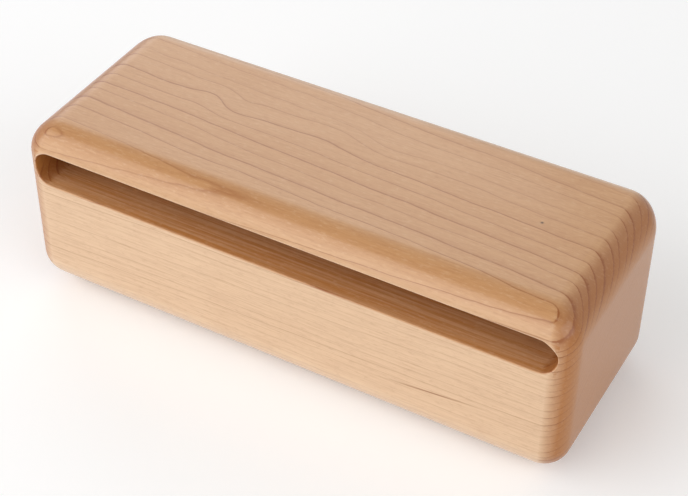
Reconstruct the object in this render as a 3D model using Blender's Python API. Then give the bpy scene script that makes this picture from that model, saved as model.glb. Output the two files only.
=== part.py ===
"""Concert wood block: one maple billet with a milled sound slot, on four rubber feet.

The frame: +X along the block, -Y out of the front face with the slot, +Z up.
The origin is on the table, under the middle of the block.
"""

import bpy
import bmesh
from math import cos, pi, sin

# The billet
BLOCK_LENGTH = 0.200
BLOCK_DEPTH = 0.075
BLOCK_HEIGHT = 0.065

# Rounded edges
FRONT_ROUND = 0.011          # long edges of the front face, top and bottom
REAR_ROUND = 0.008           # long edges of the rear face
END_ROUND = 0.011            # top and bottom edges of both ends
UPRIGHT_FRONT_ROUND = 0.0085
UPRIGHT_REAR_ROUND = 0.012
CORNER_LEAST = 0.001         # what is left of a corner's radius on the flat faces

# The sound slot
SLOT_HEIGHT = 0.0124         # the cutter's diameter
PLATE_THICKNESS = 0.0082     # wood over the slot, which is struck
SLOT_END_WALL = 0.005
SLOT_REAR_WALL = 0.015
SLOT_LIP_EASE = 0.0005       # sanded break on the slot's mouth

# The feet
FOOT_DIAMETER = 0.0125
FOOT_THICKNESS = 0.0025
FOOT_RIM_ROUND = 0.0006
FOOT_FROM_END = 0.022        # from the end of the block to the foot's centre
FOOT_FROM_SIDE = 0.020       # from the front or rear face to the foot's centre
SEAT_GAP = 0.0003            # between a foot and the wood it is stuck to

# Fineness of the round surfaces
EDGE_STEPS = 8
CORNER_STEPS = 6
SLOT_END_STEPS = 16
FOOT_STEPS = 32

UNDERSIDE = FOOT_THICKNESS + SEAT_GAP
TOP = UNDERSIDE + BLOCK_HEIGHT
SLOT_CENTRE = TOP - PLATE_THICKNESS - SLOT_HEIGHT / 2


def clear_scene():
    for old in list(bpy.data.objects):
        bpy.data.objects.remove(old, do_unlink=True)


def make_material(name, colour, roughness):
    material = bpy.data.materials.new(name)
    material.use_nodes = True
    shader = material.node_tree.nodes["Principled BSDF"]
    shader.inputs["Base Color"].default_value = (*colour, 1.0)
    shader.inputs["Roughness"].default_value = roughness
    shader.inputs["Metallic"].default_value = 0.0
    return material


def make_object(name, bm, material=None):
    """Turn a bmesh into a named object, shaded smooth but for its sharp edges."""
    bmesh.ops.recalc_face_normals(bm, faces=bm.faces)
    mesh = bpy.data.meshes.new(name)
    bm.to_mesh(mesh)
    bm.free()
    mesh.shade_smooth()
    mesh.set_sharp_from_angle(angle=pi / 6)
    thing = bpy.data.objects.new(name, mesh)
    bpy.context.collection.objects.link(thing)
    if material is not None:
        mesh.materials.append(material)
    return thing


def corner_points(side_x, side_y, turn, height):
    """One rounded corner of the outline at one step of the edge rounding.

    turn goes from 0, where the rounding leaves the upright sides, to a quarter circle, where it
    meets the flat top or bottom. height gives z for a drop below (or rise above) that flat face.
    """
    if side_y < 0:
        long_round, upright_round = FRONT_ROUND, UPRIGHT_FRONT_ROUND
    else:
        long_round, upright_round = REAR_ROUND, UPRIGHT_REAR_ROUND
    inset_x = END_ROUND * (1 - cos(turn))
    inset_y = long_round * (1 - cos(turn))
    radius = CORNER_LEAST + (upright_round - CORNER_LEAST) * cos(turn)
    centre_x = BLOCK_LENGTH / 2 - inset_x - radius
    centre_y = BLOCK_DEPTH / 2 - inset_y - radius
    points = []
    for step in range(CORNER_STEPS + 1):
        angle = pi / 2 * step / CORNER_STEPS
        edge_round = END_ROUND * cos(angle) ** 2 + long_round * sin(angle) ** 2
        x = side_x * (centre_x + radius * cos(angle))
        y = side_y * (centre_y + radius * sin(angle))
        points.append((x, y, height(edge_round * (1 - sin(turn)))))
    return points


def outline(turn, height):
    """The whole outline at one step, counter-clockwise from the right end."""
    rear_right = corner_points(1, 1, turn, height)
    rear_left = corner_points(-1, 1, turn, height)
    front_left = corner_points(-1, -1, turn, height)
    front_right = corner_points(1, -1, turn, height)
    return rear_right + rear_left[::-1] + front_left + front_right[::-1]


def billet():
    """The rounded billet as a stack of outlines, closed by its two flat faces."""
    turns = [pi / 2 * step / EDGE_STEPS for step in range(EDGE_STEPS + 1)]
    rings = [outline(turn, lambda rise: UNDERSIDE + rise) for turn in reversed(turns)]
    rings += [outline(turn, lambda drop: TOP - drop) for turn in turns]
    bm = bmesh.new()
    loops = [[bm.verts.new(point) for point in ring] for ring in rings]
    for lower, upper in zip(loops, loops[1:]):
        for here in range(len(lower)):
            after = (here + 1) % len(lower)
            bm.faces.new((lower[here], lower[after], upper[after], upper[here]))
    bm.faces.new(loops[0][::-1])
    bm.faces.new(loops[-1])
    return bm


def slot_cutter():
    """A bar with half round ends that reaches in from the front face."""
    radius = SLOT_HEIGHT / 2
    end_centre = BLOCK_LENGTH / 2 - SLOT_END_WALL - radius
    bm = bmesh.new()
    mouth = []
    for side in (1, -1):
        for step in range(SLOT_END_STEPS + 1):
            angle = pi * step / SLOT_END_STEPS - pi / 2
            x = side * (end_centre + radius * cos(angle))
            z = SLOT_CENTRE + side * radius * sin(angle)
            mouth.append(bm.verts.new((x, -BLOCK_DEPTH, z)))
    face = bm.faces.new(mouth)
    swept = bmesh.ops.extrude_face_region(bm, geom=[face])["geom"]
    depth = BLOCK_DEPTH * 1.5 - SLOT_REAR_WALL
    moved = [part for part in swept if isinstance(part, bmesh.types.BMVert)]
    bmesh.ops.translate(bm, verts=moved, vec=(0, depth, 0))
    cutter = make_object("slot_cutter", bm)
    cutter.hide_render = True
    cutter.display_type = "WIRE"
    return cutter


def make_body(wood):
    body = make_object("block_body", billet(), wood)
    cut = body.modifiers.new("sound slot", "BOOLEAN")
    cut.operation = "DIFFERENCE"
    cut.solver = "EXACT"
    cut.object = slot_cutter()
    ease = body.modifiers.new("slot lip", "BEVEL")
    ease.width = SLOT_LIP_EASE
    ease.segments = 2
    ease.limit_method = "ANGLE"
    ease.angle_limit = pi / 3
    return body


def make_foot(name, side_x, side_y, rubber):
    """A low rubber disc whose lower rim is rounded."""
    bm = bmesh.new()
    bmesh.ops.create_cone(
        bm, cap_ends=True, segments=FOOT_STEPS, radius1=FOOT_DIAMETER / 2, radius2=FOOT_DIAMETER / 2,
        depth=FOOT_THICKNESS)
    lower_rim = [edge for edge in bm.edges if all(vert.co.z < 0 for vert in edge.verts)]
    bmesh.ops.bevel(bm, geom=lower_rim, offset=FOOT_RIM_ROUND, segments=3, profile=0.5, affect="EDGES")
    foot = make_object(name, bm, rubber)
    foot.location = (
        side_x * (BLOCK_LENGTH / 2 - FOOT_FROM_END),
        side_y * (BLOCK_DEPTH / 2 - FOOT_FROM_SIDE),
        FOOT_THICKNESS / 2)
    return foot


def main():
    clear_scene()
    wood = make_material("lacquered_maple", (0.56, 0.33, 0.17), 0.3)
    rubber = make_material("foot_rubber", (0.03, 0.03, 0.03), 0.7)
    make_body(wood)
    for row, side_y in (("front", -1), ("rear", 1)):
        for hand, side_x in (("left", -1), ("right", 1)):
            make_foot(f"foot_{row}_{hand}", side_x, side_y, rubber)


main()
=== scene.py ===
"""Concert wood block: the looks of a lacquered maple block with a sound slot, on rubber feet."""

import bpy
import numpy as np
from math import cos, pi, radians, sin
from mathutils import Matrix, Vector


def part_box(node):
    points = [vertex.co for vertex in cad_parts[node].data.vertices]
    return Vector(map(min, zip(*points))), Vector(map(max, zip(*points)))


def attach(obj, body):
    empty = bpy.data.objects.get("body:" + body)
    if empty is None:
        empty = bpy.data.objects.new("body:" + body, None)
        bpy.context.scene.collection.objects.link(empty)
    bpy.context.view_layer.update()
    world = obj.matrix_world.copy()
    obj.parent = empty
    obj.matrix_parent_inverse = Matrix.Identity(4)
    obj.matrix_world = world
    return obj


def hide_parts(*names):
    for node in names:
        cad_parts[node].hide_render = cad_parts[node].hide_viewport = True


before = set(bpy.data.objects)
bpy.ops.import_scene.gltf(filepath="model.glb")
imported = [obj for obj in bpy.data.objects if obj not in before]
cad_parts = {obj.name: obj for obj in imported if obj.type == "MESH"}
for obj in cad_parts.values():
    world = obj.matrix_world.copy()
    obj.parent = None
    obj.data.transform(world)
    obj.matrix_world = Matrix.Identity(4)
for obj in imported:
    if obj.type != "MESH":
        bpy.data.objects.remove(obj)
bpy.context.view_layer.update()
BODY_LOW, BODY_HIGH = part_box("block_body")
BODY_SIZE = BODY_HIGH - BODY_LOW

bl_info = {
    "name": "Wood block looks",
    "version": (1, 0, 0),
    "blender": (4, 5, 0),
    "location": "View3D > Sidebar > Wood Block",
    "description": "Builds the lacquered maple block, its rubber feet and its studio around the frame",
    "category": "Object",
}


class WoodBlockShape(bpy.types.PropertyGroup):
    """Sizes of the rounded edges and of the sound slot."""

    long_front: bpy.props.FloatProperty(
        name="Front edge round", description="Radius of the long edges of the front face",
        default=0.011, min=0.002, unit="LENGTH")
    long_rear: bpy.props.FloatProperty(
        name="Rear edge round", description="Radius of the long edges of the rear face",
        default=0.008, min=0.002, unit="LENGTH")
    ends: bpy.props.FloatProperty(
        name="End edge round", description="Radius of the top and bottom edges of the ends",
        default=0.011, min=0.002, unit="LENGTH")
    upright_front: bpy.props.FloatProperty(
        name="Front corner round", description="Radius of the upright edges beside the front face",
        default=0.0085, min=0.002, unit="LENGTH")
    upright_rear: bpy.props.FloatProperty(
        name="Rear corner round", description="Radius of the upright edges beside the rear face",
        default=0.012, min=0.002, unit="LENGTH")
    corner_least: bpy.props.FloatProperty(
        name="Least corner", description="What is left of a corner's radius on the flat faces",
        default=0.001, min=0.0002, unit="LENGTH")
    slot_height: bpy.props.FloatProperty(
        name="Slot height", description="Height of the sound slot",
        default=0.0124, min=0.004, unit="LENGTH")
    plate: bpy.props.FloatProperty(
        name="Plate thickness", description="Wood between the slot and the top face",
        default=0.0082, min=0.003, unit="LENGTH")
    end_wall: bpy.props.FloatProperty(
        name="Slot end wall", description="Wood between the slot and the ends of the block",
        default=0.005, min=0.002, unit="LENGTH")
    rear_wall: bpy.props.FloatProperty(
        name="Slot rear wall", description="Wood between the slot and the rear face",
        default=0.015, min=0.005, unit="LENGTH")
    lip_ease: bpy.props.FloatProperty(
        name="Lip ease", description="Radius of the sanded break on the slot's mouth",
        default=0.0005, min=0.0001, unit="LENGTH")


class WoodBlockFinish(bpy.types.PropertyGroup):
    """Colours of the maple and the rubber."""

    sapwood: bpy.props.FloatVectorProperty(
        name="Maple", description="Colour of the pale early wood under the lacquer",
        subtype="COLOR", size=3, min=0, max=1, default=(0.65, 0.37, 0.19))
    # Amber is the wood's own colour in the broad warm patches, and painted shade on the band of the
    # upper front edge
    amber_and_shade: bpy.props.FloatVectorProperty(
        name="Amber maple", description="Colour of the darker broad bands",
        subtype="COLOR", size=3, min=0, max=1, default=(0.57, 0.285, 0.115))
    # Painted light: this pale colour lightens the faces turned across the rings, such as the front,
    # and the glints
    pale: bpy.props.FloatVectorProperty(
        name="Pale maple", description="Colour where the growth rings are cut across",
        subtype="COLOR", size=3, min=0, max=1, default=(0.84, 0.595, 0.39))
    end_wood: bpy.props.FloatVectorProperty(
        name="End grain", description="Colour where the fibres are cut across",
        subtype="COLOR", size=3, min=0, max=1, default=(0.50, 0.20, 0.05))
    ring_line: bpy.props.FloatVectorProperty(
        name="Ring line", description="Colour of the fine line that closes each growth ring",
        subtype="COLOR", size=3, min=0, max=1, default=(0.31, 0.095, 0.024))
    knot: bpy.props.FloatVectorProperty(
        name="Pin knot", description="Colour of the tiny knot on the top",
        subtype="COLOR", size=3, min=0, max=1, default=(0.01, 0.008, 0.006))
    rubber: bpy.props.FloatVectorProperty(
        name="Rubber", description="Colour of the feet",
        subtype="COLOR", size=3, min=0, max=1, default=(0.028, 0.028, 0.03))
    lacquer_roughness: bpy.props.FloatProperty(
        name="Lacquer roughness", description="Roughness of the clear coat",
        subtype="FACTOR", min=0, max=1, default=0.16)
    lacquer_weight: bpy.props.FloatProperty(
        name="Lacquer weight", description="Strength of the clear coat",
        subtype="FACTOR", min=0, max=1, default=0.6)


# Surfaces

EDGE_STEPS = 14
CORNER_STEPS = 14
LONG_STEPS = 56
END_SIDE_STEPS = 18
BELOW_STEPS = 5
BESIDE_STEPS = 14
MOUTH_STEPS = 10
LIP_STEPS = 4
WALL_STEPS = 14
SUPPORT_INSET = 0.0006
SLOT_MARGIN = 0.0002


def corner_arc(shape, turn, side_x, side_y):
    """One rounded corner of the outline, as an array of points.

    A quarter circle of the corner's radius about its centre. As turn goes from 0 to a quarter
    circle, the outline moves in by each edge's radius times 1 - cos(turn), the corner's radius
    shrinks with cos(turn), and the distance to the flat face is the edge's radius times
    1 - sin(turn), blended round the corner by the squares of cosine and sine.
    """
    long_round = shape.long_front if side_y < 0 else shape.long_rear
    upright = shape.upright_front if side_y < 0 else shape.upright_rear
    angle = np.linspace(0, pi / 2, CORNER_STEPS + 1)
    radius = shape.corner_least + (upright - shape.corner_least) * np.cos(turn)
    centre_x = BODY_SIZE.x / 2 - shape.ends * (1 - np.cos(turn)) - radius
    centre_y = BODY_SIZE.y / 2 - long_round * (1 - np.cos(turn)) - radius
    edge_round = shape.ends * np.cos(angle) ** 2 + long_round * np.sin(angle) ** 2
    x = side_x * (centre_x + radius * np.cos(angle))
    y = side_y * (centre_y + radius * np.sin(angle))
    return np.stack([x, y, edge_round * (1 - np.sin(turn))], axis=1)


def between(start, end, steps):
    """The points between two ends of a straight stretch, without the ends."""
    share = np.linspace(0, 1, steps + 1)[1:-1, None]
    return start + (end - start) * share


def outline(shape, turn):
    """The closed outline at one turn, counter-clockwise from the right end's front corner."""
    front_right = corner_arc(shape, turn, 1, -1)[::-1]
    rear_right = corner_arc(shape, turn, 1, 1)
    rear_left = corner_arc(shape, turn, -1, 1)[::-1]
    front_left = corner_arc(shape, turn, -1, -1)
    right = between(front_right[-1], rear_right[0], END_SIDE_STEPS)
    rear = between(rear_right[-1], rear_left[0], LONG_STEPS)
    left = between(rear_left[-1], front_left[0], END_SIDE_STEPS)
    front = between(front_left[-1], front_right[0], LONG_STEPS)
    return np.concatenate([front_right, right, rear_right, rear, rear_left, left, front_left, front])


def slot_middle(shape):
    return BODY_HIGH.z - shape.plate - shape.slot_height / 2


def front_depth(shape, x, z):
    """How far back the front surface lies at x and z.

    The rounding's turn comes from the height: sine of turn is 1 - distance to the flat face over
    the radius. That gives the front's inset and the corner's circle, whose y is taken at x.
    """
    rise = np.minimum(z - BODY_LOW.z, BODY_HIGH.z - z)
    turn = np.arcsin(np.clip(1 - rise / shape.long_front, 0, 1))
    inset = shape.long_front * (1 - np.cos(turn))
    radius = shape.corner_least + (shape.upright_front - shape.corner_least) * np.cos(turn)
    corner = BODY_SIZE.x / 2 - inset - radius
    past = np.clip(np.abs(x) - corner, 0, radius)
    return BODY_LOW.y + inset + radius - np.sqrt(radius ** 2 - past ** 2)


def stack_outlines(shape):
    """All outlines from the underside to the top, as an array of rings by points by 3."""
    turns = np.linspace(0, pi / 2, EDGE_STEPS + 1)
    mouth_low = slot_middle(shape) - shape.slot_height
    rings = []
    for turn in turns[::-1]:
        ring = outline(shape, turn)
        ring[:, 2] = BODY_LOW.z + ring[:, 2]
        rings.append(ring)
    upright_low = rings[-1][:, 2].max()
    upright_high = BODY_HIGH.z - shape.ends
    below_mouth = np.linspace(upright_low, mouth_low, BELOW_STEPS + 1)[1:]
    beside_mouth = np.linspace(mouth_low, upright_high, BESIDE_STEPS + 1)[1:-1]
    for height in np.concatenate([below_mouth, beside_mouth]):
        ring = outline(shape, 0.0)
        ring[:, 2] = height
        rings.append(ring)
    window_low = len(turns) - 1 + BELOW_STEPS
    for turn in turns:
        ring = outline(shape, turn)
        ring[:, 2] = BODY_HIGH.z - ring[:, 2]
        rings.append(ring)
    window_high = len(rings) - len(turns) + EDGE_STEPS // 2
    return np.array(rings), window_low, window_high


def quads(first, second):
    """Faces between two closed loops of vertex numbers, from the same number of points."""
    return np.stack([first, np.roll(first, -1), np.roll(second, -1), second], axis=1)


def inner_outline(ring, inset):
    """A flat face's support loop: the outline drawn in by the inset towards the middle line."""
    half = np.abs(ring[:, :2]).max(axis=0)
    shrunk = ring.copy()
    shrunk[:, :2] *= (half - inset) / half
    return shrunk


def block_surface(shape):
    """Vertices and faces of the whole block, slot included.

    The outside is a stack of outlines. On the front a window is left out between two outlines,
    and closed by loops that run from the window's edge to the slot: each point goes straight
    towards the nearest point of the slot's outline, and its y is read off the front surface. Then
    come a quarter circle for the eased lip, the slot's wall and its rear end.
    """
    rings, low, high = stack_outlines(shape)
    count = rings.shape[1]
    number = np.arange(rings.shape[0] * count).reshape(rings.shape[0], count)
    points = [rings.reshape(-1, 3)]
    total = number.size
    corner = CORNER_STEPS + 1
    front_start = count - (LONG_STEPS - 1) - corner
    first = front_start + corner // 2
    last = count + corner // 2
    columns = np.arange(first, last + 1) % count
    grid = np.stack([
        number[:-1], np.roll(number[:-1], -1, axis=1),
        np.roll(number[1:], -1, axis=1), number[1:]], axis=2)
    keep = np.ones(grid.shape[:2], bool)
    keep[low:high, columns[:-1]] = False
    faces = [grid[keep]]

    # The window's edge, anticlockwise as seen from the front
    edge = np.concatenate([
        number[low, columns[:-1]], number[low:high, columns[-1]],
        number[high, columns[:0:-1]], number[high:low:-1, columns[0]]])
    rim = points[0][edge]
    radius = shape.slot_height / 2
    straight = BODY_SIZE.x / 2 - shape.end_wall - radius
    middle = slot_middle(shape)
    centre = np.stack([np.clip(rim[:, 0], -straight, straight), np.full(len(rim), middle)], axis=1)
    outward = rim[:, [0, 2]] - centre
    reach = np.linalg.norm(outward, axis=1, keepdims=True)
    outward = outward / reach

    def add_loop(loop):
        nonlocal total
        points.append(loop)
        numbers = np.arange(total, total + len(loop))
        total += len(loop)
        return numbers

    def slot_loop(beyond, y):
        spot = centre + outward * (radius + beyond)
        depth = front_depth(shape, spot[:, 0], spot[:, 1]) if y is None else y
        return np.stack([spot[:, 0], depth, spot[:, 1]], axis=1)

    loops = [edge]
    for share in np.linspace(1, 0, MOUTH_STEPS + 1)[1:]:
        beyond = shape.lip_ease + (reach - radius - shape.lip_ease) * share ** 1.5
        loops.append(add_loop(slot_loop(beyond, None)))
    lip = points[-1][:, 1]
    for turn in np.linspace(0, pi / 2, LIP_STEPS + 1)[1:]:
        beyond = shape.lip_ease * (1 - np.sin(turn))
        loops.append(add_loop(slot_loop(beyond, lip + shape.lip_ease * (1 - np.cos(turn)))))
    mouth = points[-1][:, 1]
    back = BODY_HIGH.y - shape.rear_wall
    for share in np.linspace(0, 1, WALL_STEPS + 1)[1:]:
        loops.append(add_loop(slot_loop(0.0, mouth + (back - mouth) * share)))
    for outer, inner in zip(loops, loops[1:]):
        faces.append(quads(outer, inner))

    under = add_loop(inner_outline(rings[0], SUPPORT_INSET))
    over = add_loop(inner_outline(rings[-1], SUPPORT_INSET))
    faces.append(quads(under, number[0]))
    faces.append(quads(number[-1], over))
    caps = [under[::-1], over, loops[-1]]
    return np.concatenate(points), np.concatenate(faces), caps


def mesh_object(name, points, faces, caps, material, sharp=pi / 6):
    """Put a surface into a mesh object at the origin, smooth but for its sharp edges."""
    mesh = bpy.data.meshes.new(name)
    mesh.from_pydata(points.tolist(), [], faces.tolist() + [cap.tolist() for cap in caps])
    mesh.validate()
    mesh.shade_smooth()
    mesh.set_sharp_from_angle(angle=sharp)
    mesh.materials.append(material)
    thing = bpy.data.objects.new(name, mesh)
    bpy.context.scene.collection.objects.link(thing)
    return thing


# Shader expressions

class Socket:
    """A node's output that takes part in arithmetic, adding Math nodes as it goes."""

    def __init__(self, net, link):
        self.net = net
        self.link = link

    def _with(self, operation, other, flipped=False):
        pair = (other, self) if flipped else (self, other)
        return self.net.node("ShaderNodeMath", {"operation": operation}, {0: pair[0], 1: pair[1]})

    def __add__(self, other):
        return self._with("ADD", other)

    __radd__ = __add__

    def __mul__(self, other):
        return self._with("MULTIPLY", other)

    __rmul__ = __mul__

    def __sub__(self, other):
        return self._with("SUBTRACT", other)

    def __rsub__(self, other):
        return self._with("SUBTRACT", other, flipped=True)

    def __truediv__(self, other):
        return self._with("DIVIDE", other)


class Net:
    """The node tree of one material."""

    def __init__(self, material):
        self.tree = material.node_tree

    def node(self, kind, settings=None, inputs=None, output=0):
        """Add a node from its type, its settings and the values or links of its sockets."""
        node = self.tree.nodes.new(kind)
        for key, value in (settings or {}).items():
            if key == "stops":
                self.set_stops(node.color_ramp, value)
            else:
                setattr(node, key, value)
        for key, value in (inputs or {}).items():
            if isinstance(value, Socket):
                self.tree.links.new(value.link, node.inputs[key])
            else:
                node.inputs[key].default_value = value
        return Socket(self, node.outputs[output])

    @staticmethod
    def set_stops(ramp, stops):
        while len(ramp.elements) < len(stops):
            ramp.elements.new(1.0)
        for element, (position, level) in zip(ramp.elements, stops):
            element.position = position
            element.color = (level, level, level, 1.0)

    def parts(self, vector):
        """The three numbers of a vector."""
        outputs = self.node("ShaderNodeSeparateXYZ", {}, {0: vector}).link.node.outputs
        return [Socket(self, output) for output in outputs]

    def math(self, operation, *values):
        """A Math node on one, two or three values."""
        return self.node("ShaderNodeMath", {"operation": operation}, dict(enumerate(values)))

    def noise(self, place, scale, detail, roughness=0.5):
        return self.node("ShaderNodeTexNoise", {}, {
            "Vector": place, "Scale": scale, "Detail": detail, "Roughness": roughness})

    def ramp(self, value, *stops):
        """A value sent through levels given as position and level pairs."""
        return self.node("ShaderNodeValToRGB", {"stops": stops}, {"Fac": value})

    def mix(self, share, first, second):
        """A colour between two colours."""
        return self.node(
            "ShaderNodeMix", {"data_type": "RGBA"},
            {0: share, 6: colour(first), 7: colour(second)}, output=2)


def colour(value):
    if isinstance(value, Socket):
        return value
    return (*value, 1.0)


def new_material(name):
    material = bpy.data.materials.new(name)
    material.use_nodes = True
    return material, Net(material), material.node_tree.nodes["Principled BSDF"]


def feed(net, shader, name, socket):
    net.tree.links.new(socket.link, shader.inputs[name])


# Materials

MM = 0.001

# Growth rings. Widths and places are in metres, in the block's own coordinates.
RING_WIDTH = 2.45 * MM
RING_SHIFT = 0.20            # share of a ring by which all rings are moved
PITH_DISTANCE = 500 * MM     # from the block's middle back down to the tree's centre line
RING_LEAN = radians(26.5)    # how far the rings lean towards the front
RING_CLIMB = 0.026           # how fast the rings rise along the block
SWAY = 2.2 * MM              # slow waves in the rings
RIPPLE = 0.5 * MM            # small waves in the rings
TORN = 0.8 * MM              # raggedness of the lines where the fibres are cut across
SWIRLS = (                   # x, y, reach along x and y, and push of the rings
    (-48 * MM, 9 * MM, 9 * MM, 7 * MM, -2.2 * MM),
    (2 * MM, 12 * MM, 15 * MM, 9 * MM, -2.0 * MM),
)
LINE_PROFILE = ((0.0, 0.1), (0.05, 0.0), (0.72, 0.04), (0.90, 0.22), (0.965, 1.0), (1.0, 0.1))
LEAST_LINE = 0.24            # strength of the faintest ring line
MORE_LINE = 0.55             # what chance adds to it, ring by ring
DARKEST_LINE = 0.9

# How the colours follow the cut of the wood: levels over the share that a face is turned.
# The pale levels lay painted light on faces turned across the rings, such as the front, the
# amber levels lay painted shade on faces that run with the rings, chiefly the upper front edge,
# and the end levels give the end grain, whose slanting part also carries painted shade.
PAINTED_LIGHT_WHERE = ((0.35, 1.0), (0.86, 0.08), (1.0, 0.0))         # over the flat cut
PAINTED_SHADE_WHERE = ((0.88, 0.0), (1.0, 0.8))                      # over the flat cut
LINES_WHERE = ((0.40, 0.55), (0.85, 1.0))                    # over the flat cut
END_WHERE = ((0.12, 0.0), (0.7, 1.0))                        # over the end cut
END_SHADE_AND_LINES_WHERE = ((0.12, 0.0), (0.45, 1.0), (0.80, 0.8), (0.98, 0.14))
END_SHADE_AND_LINES_UP = ((0.0, 0.3), (0.5, 1.0))                      # over the turn up or down

PIN_KNOT = (70.9 * MM, 3.2 * MM, 0.45 * MM)                       # x, y and reach, on the top
STREAK = (55.5 * MM, 21.6 * MM, 12.0 * MM, 0.28 * MM, 0.096)      # x, z, reach along and up, slope


def vector(net, x, y, z):
    return net.node("ShaderNodeCombineXYZ", {}, {0: x, 1: y, 2: z})


def stretched(net, place, along, aside=1.0):
    """The place with its distances along and across the grain scaled, so that noise is drawn out."""
    x, y, z = place
    return vector(net, x * along, y * aside, z * aside)


def swell(net, along, up):
    """1 at the middle, falling off smoothly with the squares of two distances."""
    return net.math("EXPONENT", (along * along + up * up) * -1.0)


def swirl(net, x, y, place):
    """A smooth step that pushes the rings near one spot, as a small knot deep below would."""
    at_x, at_y, reach_x, reach_y, push = place
    along = (x - at_x) / reach_x
    return along * swell(net, along, (y - at_y) / reach_y) * push


def inside_slot(net, place, shape):
    """1 on the walls of the slot, and 0 on the outside of the block."""
    x, y, z = place
    slot_end = BODY_SIZE.x / 2 - shape.end_wall + SLOT_MARGIN
    slot_rear = BODY_HIGH.y - shape.rear_wall + SLOT_MARGIN
    from_middle = net.math("ABSOLUTE", z - slot_middle(shape))
    within = net.math("LESS_THAN", net.math("ABSOLUTE", x), slot_end)
    behind = net.math("GREATER_THAN", y, BODY_LOW.y + shape.lip_ease)
    level = net.math("LESS_THAN", from_middle, shape.slot_height / 2 + SLOT_MARGIN)
    before = net.math("LESS_THAN", y, slot_rear)
    return within * behind * level * before


def growth_rings(net, place, end_cut):
    """The dark line that closes each ring, and each ring's own strength by chance.

    The rings are counted by the distance from the pith, which rises along the trunk and is bent
    by slow waves, by small ones and by the swirls.
    """
    x, y, z = place
    across = y - PITH_DISTANCE * sin(RING_LEAN)
    up = z - BODY_HIGH.z / 2 + PITH_DISTANCE * cos(RING_LEAN)
    trunk = net.math("SQRT", across * across + up * up)
    sway = net.noise(stretched(net, place, 0.22, 0.75), 60.0, detail=1.0) - 0.5
    ripple = net.noise(stretched(net, place, 0.4), 210.0, detail=2.0) - 0.5
    torn = net.noise(stretched(net, place, 1.0), 1100.0, detail=2.0, roughness=0.7) - 0.5
    bent = trunk - x * RING_CLIMB + sway * SWAY + ripple * RIPPLE + torn * end_cut * TORN
    for spot in SWIRLS:
        bent = bent + swirl(net, x, y, spot)
    even = bent / RING_WIDTH + RING_SHIFT
    count = even + (net.noise(vector(net, even, 0.0, 0.0), 0.7, detail=0.0) - 0.5)
    number = vector(net, net.math("FLOOR", count), 0.0, 0.0)
    chance = net.node("ShaderNodeTexWhiteNoise", {"noise_dimensions": "3D"}, {"Vector": number})
    return net.ramp(net.math("FRACT", count), *LINE_PROFILE), chance


def add_streak(net, wood, place, finish):
    """The short dark mineral streak low on the front."""
    x, y, z = place
    at_x, at_z, reach_x, reach_z, slope = STREAK
    along = x - at_x
    streak = swell(net, along / reach_x, (z - at_z - along * slope) / reach_z)
    on_front = net.math("LESS_THAN", y, BODY_LOW.y + MM)
    return net.mix(streak * on_front * 0.9, wood, finish.ring_line)


def add_knot(net, wood, place, finish):
    """The tiny black pin knot on the top."""
    x, y, z = place
    at_x, at_y, reach = PIN_KNOT
    knot = swell(net, (x - at_x) / reach, (y - at_y) / reach)
    on_top = net.math("GREATER_THAN", z, BODY_HIGH.z - MM)
    return net.mix(knot * on_top * 0.95, wood, finish.knot)


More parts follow.
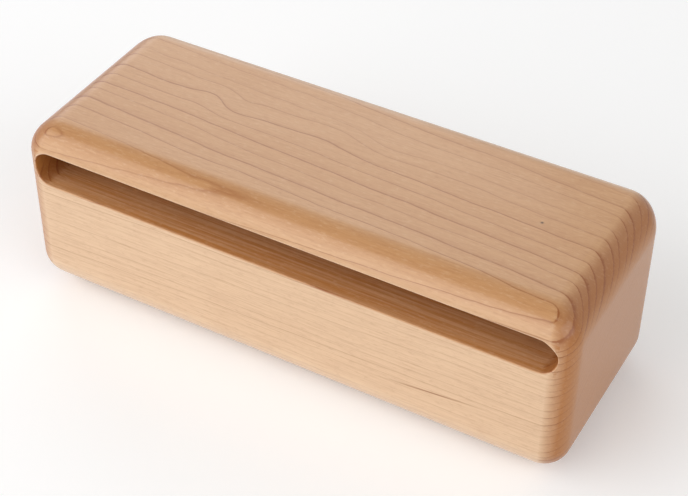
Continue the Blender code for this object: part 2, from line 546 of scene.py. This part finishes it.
def maple(finish, shape):
    """Hard maple under clear gloss lacquer, its rings leaning towards the front.

    The growth rings are wide shells about a pith line far below and behind the block. One field
    of rings gives the long lines on the top, the tongues where the front edge runs with the
    rings, the close lines on the front and the dark end grain. Painted light makes the faces
    turned across the rings, such as the front, paler, and painted shade makes the faces that run
    with them, chiefly the upper front edge, amber.
    """
    material, net, shader = new_material("lacquered_maple")
    coordinates = net.node("ShaderNodeTexCoord").link.node.outputs
    place = net.parts(Socket(net, coordinates["Object"]))
    facing_x, facing_y, facing_z = net.parts(Socket(net, coordinates["Normal"]))
    end_cut = net.math("ABSOLUTE", facing_x)
    flat_cut = net.math("ABSOLUTE", facing_z * cos(RING_LEAN) - facing_y * sin(RING_LEAN))
    slot = inside_slot(net, place, shape)
    line, chance = growth_rings(net, place, end_cut)

    # Fibres along the block, short pores and glints, broad warm patches, and the streaks of painted
    # shade in the slot along the cutter's marks
    fibre = net.noise(stretched(net, place, 0.05), 1500.0, detail=4.0, roughness=0.7)
    fleck = net.noise(stretched(net, place, 0.3), 1300.0, detail=2.0, roughness=0.6)
    pore = net.ramp(fleck, (0.56, 0.0), (0.70, 1.0))
    glint = net.ramp(fleck, (0.30, 1.0), (0.44, 0.0))
    patch = net.ramp(
        net.noise(stretched(net, place, 0.22, 0.75), 38.0, detail=3.0), (0.36, 0.0), (0.66, 1.0))
    broken = net.noise(stretched(net, place, 1.0, 0.5), 900.0, detail=2.0, roughness=0.7)
    slot_shade_streaks = net.noise(stretched(net, place, 0.02), 800.0, detail=2.0, roughness=0.7)

    # The ground from the cut of the wood: broad warm patches, painted light on faces turned across the
    # rings, painted shade on faces that run with them, the end grain, and painted shade in the slot
    wood = net.mix(patch * 0.6, finish.sapwood, finish.amber_and_shade)
    # Painted light: faces turned across the rings, such as the front, are made paler
    wood = net.mix(net.ramp(flat_cut, *PAINTED_LIGHT_WHERE), wood, finish.pale)
    # Painted shade: faces that run with the rings, chiefly the upper front edge, are made amber
    wood = net.mix(net.ramp(flat_cut, *PAINTED_SHADE_WHERE), wood, finish.amber_and_shade)
    wood = net.mix(net.ramp(end_cut, *END_WHERE), wood, finish.end_wood)
    # Painted shade in the slot: its walls are darkened towards the end-grain colour, in streaks along
    # the cutter's marks
    wood = net.mix(slot * net.ramp(slot_shade_streaks, (0.38, 0.1), (0.62, 1.0)) * 0.85, wood, finish.end_wood)

    # The ring lines, strongest on the slanting end grain and faint in the slot. The slanting end grain
    # on the end edges is also darkened as a whole: partly painted shade, partly the darker wood of the
    # cut fibres.
    turned_up = net.ramp(net.math("ABSOLUTE", facing_z), *END_SHADE_AND_LINES_UP)
    end_shade_and_lines = net.ramp(end_cut, *END_SHADE_AND_LINES_WHERE) * turned_up
    # Painted shade on the end edges, together with their darker slanting end grain
    wood = net.mix(end_shade_and_lines * 0.44, wood, finish.ring_line)
    seen_line = net.ramp(flat_cut, *LINES_WHERE) * (1 - slot * 0.8) + end_shade_and_lines * (broken * 10.0 - 0.8)
    depth = line * ((chance * MORE_LINE + LEAST_LINE) * seen_line)
    wood = net.mix(net.math("MINIMUM", depth, DARKEST_LINE), wood, finish.ring_line)

    # The fine texture, fainter on the end grain, and the two marks of this block
    along_grain = 1 - end_cut * 0.7
    fibre_dark = net.math("MAXIMUM", (fibre - 0.42) * along_grain * 0.7, 0.0)
    wood = net.mix(fibre_dark, wood, finish.ring_line)
    wood = net.mix(pore * along_grain * 0.12, wood, finish.ring_line)
    wood = net.mix(glint * along_grain * 0.16, wood, finish.pale)
    wood = add_streak(net, wood, place, finish)
    wood = add_knot(net, wood, place, finish)

    feed(net, shader, "Base Color", wood)
    feed(net, shader, "Roughness", 0.42 + fibre * 0.16)
    shader.inputs["Specular IOR Level"].default_value = 0.2
    shader.inputs["Coat Weight"].default_value = finish.lacquer_weight
    shader.inputs["Coat Roughness"].default_value = finish.lacquer_roughness
    shader.inputs["Coat IOR"].default_value = 1.5
    bump = net.node("ShaderNodeBump", {}, {
        "Strength": 0.2, "Distance": 0.02 * MM, "Height": fibre * along_grain + line * 0.4})
    feed(net, shader, "Normal", bump)
    return material


DUST = (0.12, 0.115, 0.11)


def foot_rubber(finish):
    """Matt moulded rubber with a fine pitted skin and a little dust."""
    material, net, shader = new_material("foot_rubber")
    coordinates = net.node("ShaderNodeTexCoord").link.node.outputs
    place = Socket(net, coordinates["Object"])
    pits = net.noise(place, 3800.0, detail=3.0, roughness=0.7)
    dust = net.ramp(net.noise(place, 420.0, detail=4.0), (0.45, 0.0), (0.75, 1.0))
    feed(net, shader, "Base Color", net.mix(dust * 0.18, finish.rubber, DUST))
    feed(net, shader, "Roughness", 0.62 + dust * 0.2)
    bump = net.node("ShaderNodeBump", {}, {"Strength": 0.35, "Distance": 0.05 * MM, "Height": pits})
    feed(net, shader, "Normal", bump)
    return material


# Operators

class WOODBLOCK_OT_body(bpy.types.Operator):
    """Build the maple block as one smooth surface and dress it"""

    bl_idname = "woodblock.body"
    bl_label = "Maple Block"

    def execute(self, context):
        shape = context.scene.woodblock_shape
        points, faces, caps = block_surface(shape)
        wood = maple(context.scene.woodblock_finish, shape)
        block = mesh_object("maple_block", points, faces, caps, wood)
        if block.data.validate():
            raise RuntimeError("the block's surface has broken faces")
        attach(block, "root")
        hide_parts("block_body")
        return {"FINISHED"}


class WOODBLOCK_OT_feet(bpy.types.Operator):
    """Give the rubber feet their material"""

    bl_idname = "woodblock.feet"
    bl_label = "Rubber Feet"

    def execute(self, context):
        rubber = foot_rubber(context.scene.woodblock_finish)
        feet = [node for name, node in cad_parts.items() if name.startswith("foot_")]
        if not feet:
            raise RuntimeError("the frame has no feet")
        for foot in feet:
            foot.data.materials.clear()
            foot.data.materials.append(rubber)
        return {"FINISHED"}


# The studio

PHOTO_WIDTH = 688
FOCAL_PIXELS = 1661.0
SENSOR = 36.0
CAMERA_AIM = (0.0035, -0.0011, 0.0322)
CAMERA_DISTANCE = 0.5562
CAMERA_AZIMUTH = radians(29.24)
CAMERA_ELEVATION = radians(40.38)
CAMERA_ROLL = radians(0.41)
FLOOR_HALF = 3.0
FLOOR_DROP = 0.0001      # keeps the floor clear of the undersides of the feet
FLOOR_WHITE = 0.92
FLOOR_LIFT = 0.19        # glow of the white floor in what the camera and reflections see
SKY_LEVEL = 0.35         # what the sky gives as plain light
BACKGROUND = 0.94        # the sky as it is seen
ZENITH_LEVEL = 0.25      # the same straight above, where it is darker
ZENITH_WHERE = ((0.66, 0.0), (0.9, 1.0))

SOFT_BOXES = (           # name, azimuth, elevation, distance, size and radiance
    ("key_softbox", -35, 32, 1.9, (2.4, 1.7), 2.12),
    ("veil_softbox", -141, 29, 1.2, (0.8, 0.8), 1.4),
    ("fill_softbox", 72, 32, 2.0, (1.6, 1.35), 1.55),
)


def area_light(name, azimuth, elevation, distance, size, radiance):
    """A soft box aimed at the block. Azimuth 0 is in front, and positive is to the right."""
    across, up = radians(azimuth), radians(elevation)
    toward = Vector((sin(across) * cos(up), -cos(across) * cos(up), sin(up)))
    light = bpy.data.lights.new(name, "AREA")
    light.shape = "RECTANGLE"
    light.size, light.size_y = size
    light.energy = radiance * pi * size[0] * size[1]
    lamp = bpy.data.objects.new(name, light)
    lamp.location = Vector((0, 0, BODY_HIGH.z / 2)) + toward * distance
    lamp.rotation_euler = toward.to_track_quat("Z", "Y").to_euler()
    bpy.context.scene.collection.objects.link(lamp)


def seen_directly(net):
    """1 for what the camera, a reflection or glass sees, and 0 for plain lighting."""
    rays = net.node("ShaderNodeLightPath").link.node.outputs
    names = ("Is Camera Ray", "Is Glossy Ray", "Is Transmission Ray")
    camera, glossy, through = (Socket(net, rays[name]) for name in names)
    return net.math("MAXIMUM", camera, net.math("MAXIMUM", glossy, through))


class WOODBLOCK_OT_stage(bpy.types.Operator):
    """Add the floor, the soft lights and the camera"""

    bl_idname = "woodblock.stage"
    bl_label = "Studio"

    def execute(self, context):
        self.add_floor()
        self.add_world(context.scene)
        for light in SOFT_BOXES:
            area_light(*light)
        self.add_camera(context.scene)
        return {"FINISHED"}

    def add_floor(self):
        corners = np.array([(-1, -1, 0), (1, -1, 0), (1, 1, 0), (-1, 1, 0)], float) * FLOOR_HALF
        corners[:, 2] = -FLOOR_DROP
        material, net, shader = new_material("floor_paper")
        shader.inputs["Base Color"].default_value = (FLOOR_WHITE, FLOOR_WHITE, FLOOR_WHITE, 1.0)
        shader.inputs["Roughness"].default_value = 1.0
        shader.inputs["Specular IOR Level"].default_value = 0.0
        shader.inputs["Emission Strength"].default_value = FLOOR_LIFT
        feed(net, shader, "Emission Color", seen_directly(net))
        floor = mesh_object("floor", corners, np.array([[0, 1, 2, 3]]), [], material)

    def add_world(self, scene):
        world = bpy.data.worlds.new("studio")
        world.use_nodes = True
        scene.world = world
        net = Net(world)
        back = world.node_tree.nodes["Background"]
        direction = net.node("ShaderNodeTexCoord", output=0)
        height = net.parts(direction)[2]
        dark_above = net.ramp(height, *ZENITH_WHERE)
        shown = BACKGROUND + dark_above * (ZENITH_LEVEL - BACKGROUND)
        strength = SKY_LEVEL + seen_directly(net) * (shown - SKY_LEVEL)
        net.tree.links.new(strength.link, back.inputs["Strength"])
        back.inputs["Color"].default_value = (1.0, 1.0, 1.0, 1.0)

    def add_camera(self, scene):
        lens = bpy.data.cameras.new("photo_camera")
        lens.sensor_width = SENSOR
        lens.lens = FOCAL_PIXELS / PHOTO_WIDTH * SENSOR
        camera = bpy.data.objects.new("photo_camera", lens)
        turn = Matrix.Rotation(CAMERA_AZIMUTH, 3, "Z")
        turn = turn @ Matrix.Rotation(pi / 2 - CAMERA_ELEVATION, 3, "X")
        turn = turn @ Matrix.Rotation(CAMERA_ROLL, 3, "Z")
        camera.location = Vector(CAMERA_AIM) + turn @ Vector((0, 0, CAMERA_DISTANCE))
        camera.rotation_euler = turn.to_euler()
        scene.collection.objects.link(camera)
        scene.camera = camera
        scene.view_settings.view_transform = "Standard"


class WOODBLOCK_PT_panel(bpy.types.Panel):
    """The block's sizes, colours and buttons"""

    bl_idname = "WOODBLOCK_PT_panel"
    bl_label = "Wood Block"
    bl_space_type = "VIEW_3D"
    bl_region_type = "UI"
    bl_category = "Wood Block"

    def draw(self, context):
        layout = self.layout
        for group in (context.scene.woodblock_shape, context.scene.woodblock_finish):
            for name in group.__annotations__:
                layout.prop(group, name)
        for operator in OPERATORS:
            layout.operator(operator.bl_idname)


OPERATORS = (WOODBLOCK_OT_body, WOODBLOCK_OT_feet, WOODBLOCK_OT_stage)
CLASSES = (WoodBlockShape, WoodBlockFinish, *OPERATORS, WOODBLOCK_PT_panel)


def register():
    for item in CLASSES:
        bpy.utils.register_class(item)
    bpy.types.Scene.woodblock_shape = bpy.props.PointerProperty(type=WoodBlockShape)
    bpy.types.Scene.woodblock_finish = bpy.props.PointerProperty(type=WoodBlockFinish)


def unregister():
    del bpy.types.Scene.woodblock_finish
    del bpy.types.Scene.woodblock_shape
    for item in reversed(CLASSES):
        bpy.utils.unregister_class(item)


def main():
    register()
    bpy.ops.woodblock.body()
    bpy.ops.woodblock.feet()
    bpy.ops.woodblock.stage()


if __name__ == "__main__":
    main()
